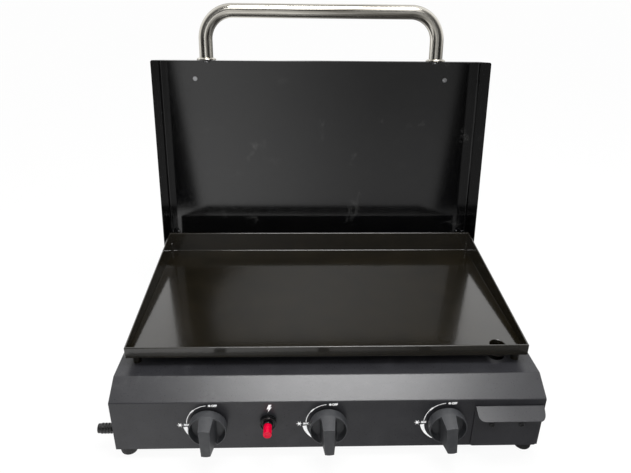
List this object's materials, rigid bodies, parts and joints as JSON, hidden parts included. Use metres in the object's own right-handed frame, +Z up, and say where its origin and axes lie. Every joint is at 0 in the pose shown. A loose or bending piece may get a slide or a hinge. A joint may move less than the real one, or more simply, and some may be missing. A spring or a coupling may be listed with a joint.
{
  "type": "flat top griddle",
  "caption": "Table-top gas griddle: enamelled tray plate over a sheet-metal burner box, hinged box lid with a tubular handle, control knobs, push igniter and grease drawer.",
  "frame": {"origin": "on the table under the middle of the bounding box, lid open", "axes": "+Z up, +X to the right of someone facing the controls, +Y away from them"},
  "size_m": [0.6228, 0.5234, 0.5714],
  "materials": {
    "powder_coat": "satin black powder coat",
    "lid_paint": "semi-gloss black paint",
    "enamel": "glossy black enamel",
    "stainless": "brushed stainless tube",
    "zinc_steel": "zinc plated",
    "black_screw": "blackened steel",
    "brass": "machined brass",
    "aluminised_steel": "dull aluminised sheet",
    "knob_plastic": "moulded, fine matt texture",
    "bezel_plastic": "moulded, gloss",
    "button_red": "moulded, gloss red",
    "rubber": "moulded rubber",
    "cap_plastic": "moulded soft plastic",
    "ceramic": "glazed ceramic",
    "lead_silicone": "silicone sleeve"
  },
  "bodies": {
    "base": {"housing_shell": "powder_coat", "side_panel_left": "powder_coat", "side_panel_right": "powder_coat", "rear_panel": "powder_coat", "base_pan": "aluminised_steel", "burner_box": "aluminised_steel", "burner_rest": "aluminised_steel", "burner_tube_1": "aluminised_steel", "burner_tube_2": "aluminised_steel", "burner_tube_3": "aluminised_steel", "foot_front_left": "rubber", "foot_front_right": "rubber", "foot_rear_left": "rubber", "foot_rear_right": "rubber", "gas_manifold": "zinc_steel", "gas_valve_1": "brass", "gas_valve_2": "brass", "gas_valve_3": "brass", "gas_inlet": "black_screw", "igniter_housing": "bezel_plastic", "igniter_nut": "zinc_steel", "spark_electrode": "ceramic", "igniter_lead": "lead_silicone", "hinge_ear_left": "powder_coat", "hinge_ear_right": "powder_coat", "hinge_bolt_left": "zinc_steel", "hinge_bolt_right": "zinc_steel", "drawer_rail_left": "zinc_steel", "drawer_rail_right": "zinc_steel"},
    "griddle": {"griddle_plate": "enamel", "drain_collar": "enamel", "plate_stud_1": "enamel", "plate_stud_2": "enamel", "plate_stud_3": "enamel", "plate_stud_4": "enamel"},
    "lid": {"lid_shell": "lid_paint", "lid_handle": "stainless", "handle_rosette_left": "stainless", "handle_rosette_right": "stainless", "handle_bolt_left": "zinc_steel", "handle_bolt_right": "zinc_steel", "lid_bolt_left": "zinc_steel", "lid_bolt_right": "zinc_steel"},
    "drawer": {"drawer_tray": "aluminised_steel", "drawer_front": "powder_coat", "drawer_screw_left": "black_screw", "drawer_screw_right": "black_screw"},
    "igniter_push": {"igniter_button": "button_red"},
    "inlet_cover": {"inlet_cap": "cap_plastic"},
    "valve_spring_1": {"valve_plunger_1": "zinc_steel"},
    "knob_turn_1": {"knob_1": "knob_plastic", "valve_stem_1": "brass"},
    "valve_spring_2": {"valve_plunger_2": "zinc_steel"},
    "knob_turn_2": {"knob_2": "knob_plastic", "valve_stem_2": "brass"},
    "valve_spring_3": {"valve_plunger_3": "zinc_steel"},
    "knob_turn_3": {"knob_3": "knob_plastic", "valve_stem_3": "brass"}
  },
  "joints": [
    {"name": "lid_hinge", "type": "hinge", "parent": "base", "child": "lid", "pos_m": [0.0131, 0.17478, 0.1372], "axis": [1, 0, 0], "range_deg": [0, 97]},
    {"name": "plate_lift", "type": "slide", "parent": "base", "child": "griddle", "axis": [0, 0, 1], "range_m": [0, 0.007]},
    {"name": "drawer_slide", "type": "slide", "parent": "base", "child": "drawer", "axis": [0, -1, 0], "range_m": [0, 0.08]},
    {"name": "igniter_press", "type": "slide", "parent": "base", "child": "igniter_push", "axis": [0, 1, 0], "range_m": [0, 0.005], "stiffness_N_per_m": 900},
    {"name": "inlet_cap_pull", "type": "slide", "parent": "base", "child": "inlet_cover", "axis": [-1, 0, 0], "range_m": [0, 0.02]},
    {"name": "knob_1_push", "type": "slide", "parent": "base", "child": "valve_spring_1", "axis": [0, 1, 0], "range_m": [0, 0.0025], "stiffness_N_per_m": 1200},
    {"name": "knob_1_turn", "type": "hinge", "parent": "valve_spring_1", "child": "knob_turn_1", "pos_m": [-0.1519, -0.22172, 0.0627], "axis": [0, -1, 0], "range_deg": [0, 150]},
    {"name": "knob_2_push", "type": "slide", "parent": "base", "child": "valve_spring_2", "axis": [0, 1, 0], "range_m": [0, 0.0025], "stiffness_N_per_m": 1200},
    {"name": "knob_2_turn", "type": "hinge", "parent": "valve_spring_2", "child": "knob_turn_2", "pos_m": [0.0111, -0.22172, 0.0627], "axis": [0, -1, 0], "range_deg": [-2, 148]},
    {"name": "knob_3_push", "type": "slide", "parent": "base", "child": "valve_spring_3", "axis": [0, 1, 0], "range_m": [0, 0.0025], "stiffness_N_per_m": 1200},
    {"name": "knob_3_turn", "type": "hinge", "parent": "valve_spring_3", "child": "knob_turn_3", "pos_m": [0.1741, -0.22172, 0.0627], "axis": [0, -1, 0], "range_deg": [-6, 144]}
  ]
}
